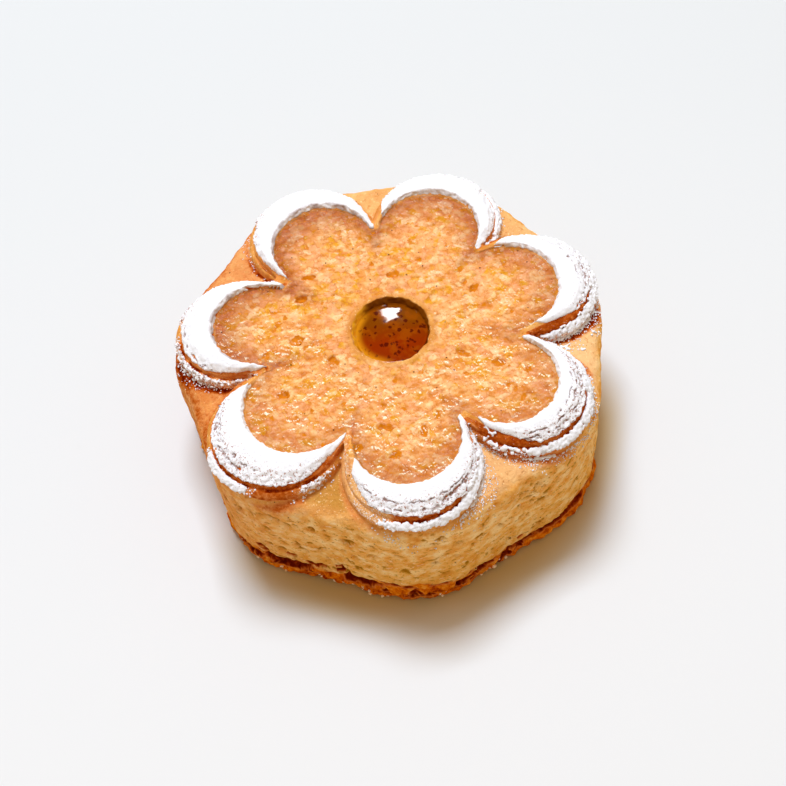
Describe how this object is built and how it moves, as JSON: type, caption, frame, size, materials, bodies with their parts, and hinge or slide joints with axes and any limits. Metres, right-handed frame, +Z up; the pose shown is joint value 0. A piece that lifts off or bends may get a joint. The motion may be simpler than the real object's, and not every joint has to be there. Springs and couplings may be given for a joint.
{
  "type": "gateau basque",
  "caption": "Individual gateau basque: a low, many-sided baked cake with a flower-pressed top, icing sugar on the raised petal rims and a jam-filled eye; a single serving of pastry.",
  "frame": {"origin": "middle of the cake's box, on the flat base it stands on", "axes": "+Z up out of the flower top, the front petal and the picture's camera towards -Y, +X to the right"},
  "size_m": [0.0822, 0.0816, 0.0324],
  "materials": {
    "crust": "baked dough, matt crumb with a slight egg-wash shine on the flower",
    "jam": "wet, clear amber gel",
    "sugar": "fine matt powder"
  },
  "bodies": {
    "root": {"pastry": "crust", "jam": "jam", "sugar_1": "sugar", "sugar_2": "sugar", "sugar_3": "sugar", "sugar_4": "sugar", "sugar_5": "sugar", "sugar_6": "sugar", "sugar_7": "sugar"}
  },
  "joints": []
}
